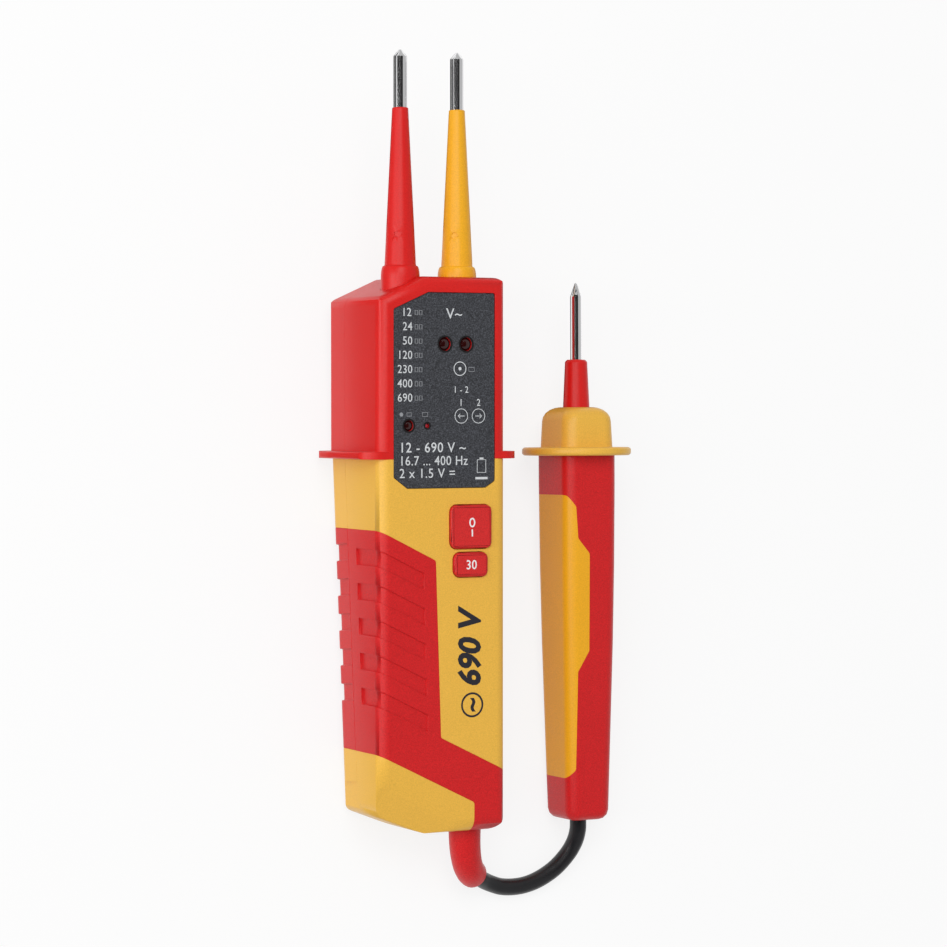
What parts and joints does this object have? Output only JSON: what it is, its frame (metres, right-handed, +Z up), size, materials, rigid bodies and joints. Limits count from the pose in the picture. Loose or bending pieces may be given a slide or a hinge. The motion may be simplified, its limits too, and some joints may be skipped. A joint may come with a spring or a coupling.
{
  "type": "two-pole voltage tester",
  "caption": "Hand-held two-pole voltage tester lying on its back: a slim housing with finger guard and fixed test prongs, keys and display, and a corded hand probe with a round guard.",
  "frame": {"origin": "on the flat back of the body that the tester lies on, on the middle line between the prongs, 5 mm below the ridge where the head's back starts to rise", "axes": "+Z up from the back that the tester lies on, +Y from the lead end towards the prongs, +X across the housing towards the hand probe; the front face slopes 4.8 degrees down towards the lead end"},
  "size_m": [0.0994, 0.255, 0.0401],
  "materials": {
    "yellow_plastic": "satin moulded plastic",
    "red_plastic": "satin moulded plastic",
    "red_soft": "soft-touch overmould, very fine grain",
    "panel_grey": "fine-grained foil",
    "lens_red": "clear dark red",
    "clear_plastic": "clear",
    "chromed_pin": "polished",
    "steel": "plain",
    "brass": "plain",
    "board_green": "solder resist on glass fibre",
    "black_plastic": "moulded",
    "ceramic_blue": "lacquered",
    "cell_sleeve": "printed sleeve, bare of words",
    "black_rubber": "flexible sheath",
    "seal_rubber": "moulded seal"
  },
  "bodies": {
    "housing": {"front_shell": "yellow_plastic", "rear_shell": "yellow_plastic", "head_front_shell": "red_plastic", "head_rear_shell": "red_plastic", "front_grip": "red_soft", "rear_grip": "red_soft", "housing_seal": "seal_rubber", "housing_screws": "steel", "display_panel": "panel_grey", "light_guide": "clear_plastic", "pointer_lenses": "lens_red", "contact_lens": "lens_red", "battery_lens": "lens_red", "power_switch": "black_plastic", "test_switch": "black_plastic", "main_board": "board_green", "indicator_leds": "clear_plastic", "processor": "black_plastic", "divider_resistors": "ceramic_blue", "load_thermistors": "ceramic_blue", "buzzer": "black_plastic", "left_pin": "chromed_pin", "right_pin": "chromed_pin", "left_sleeve": "red_plastic", "right_sleeve": "yellow_plastic", "prong_terminals": "brass", "cell_left": "cell_sleeve", "cell_right": "cell_sleeve", "cell_contacts": "steel", "cell_springs": "steel", "cell_cover_seal": "seal_rubber", "strain_relief": "red_soft", "lead": "black_rubber", "lead_inner_end": "black_rubber", "lead_clamp": "black_plastic"},
    "power_key": {"power_button": "red_soft", "power_plunger": "black_plastic"},
    "test_key": {"test_button": "red_soft", "test_plunger": "black_plastic"},
    "cell_lid": {"cell_cover": "red_plastic"},
    "lid_screw": {"cell_cover_screw": "steel"},
    "hand_probe": {"probe_handle": "red_soft", "probe_inlay": "yellow_plastic", "probe_nose": "yellow_plastic", "probe_nose_seal": "seal_rubber", "probe_cone": "red_plastic", "probe_pin": "chromed_pin", "probe_board": "board_green", "probe_resistors": "ceramic_blue", "probe_lead_end": "black_rubber", "probe_lead_ferrule": "steel"}
  },
  "joints": [
    {"name": "lead_swing", "type": "hinge", "parent": "housing", "child": "hand_probe", "pos_m": [0.0385, -0.1283, 0.0026], "axis": [0, 0, 1], "range_deg": [-50, 4], "deforming": ["lead"]},
    {"name": "power_press", "type": "slide", "parent": "housing", "child": "power_key", "axis": [0, 0.0837, -0.9965], "range_m": [0, 0.0008], "stiffness_N_per_m": 2500, "springref_m": -0.0004},
    {"name": "test_press", "type": "slide", "parent": "housing", "child": "test_key", "axis": [0, 0.0837, -0.9965], "range_m": [0, 0.0008], "stiffness_N_per_m": 2500, "springref_m": -0.0004},
    {"name": "lid_lift", "type": "slide", "parent": "housing", "child": "cell_lid", "axis": [0, 0, -1], "range_m": [0, 0.02]},
    {"name": "lid_screw_turn", "type": "hinge", "parent": "cell_lid", "child": "lid_screw", "pos_m": [0, -0.0794, 0.001], "axis": [0, 0, 1], "range_deg": [0, 1440]}
  ]
}
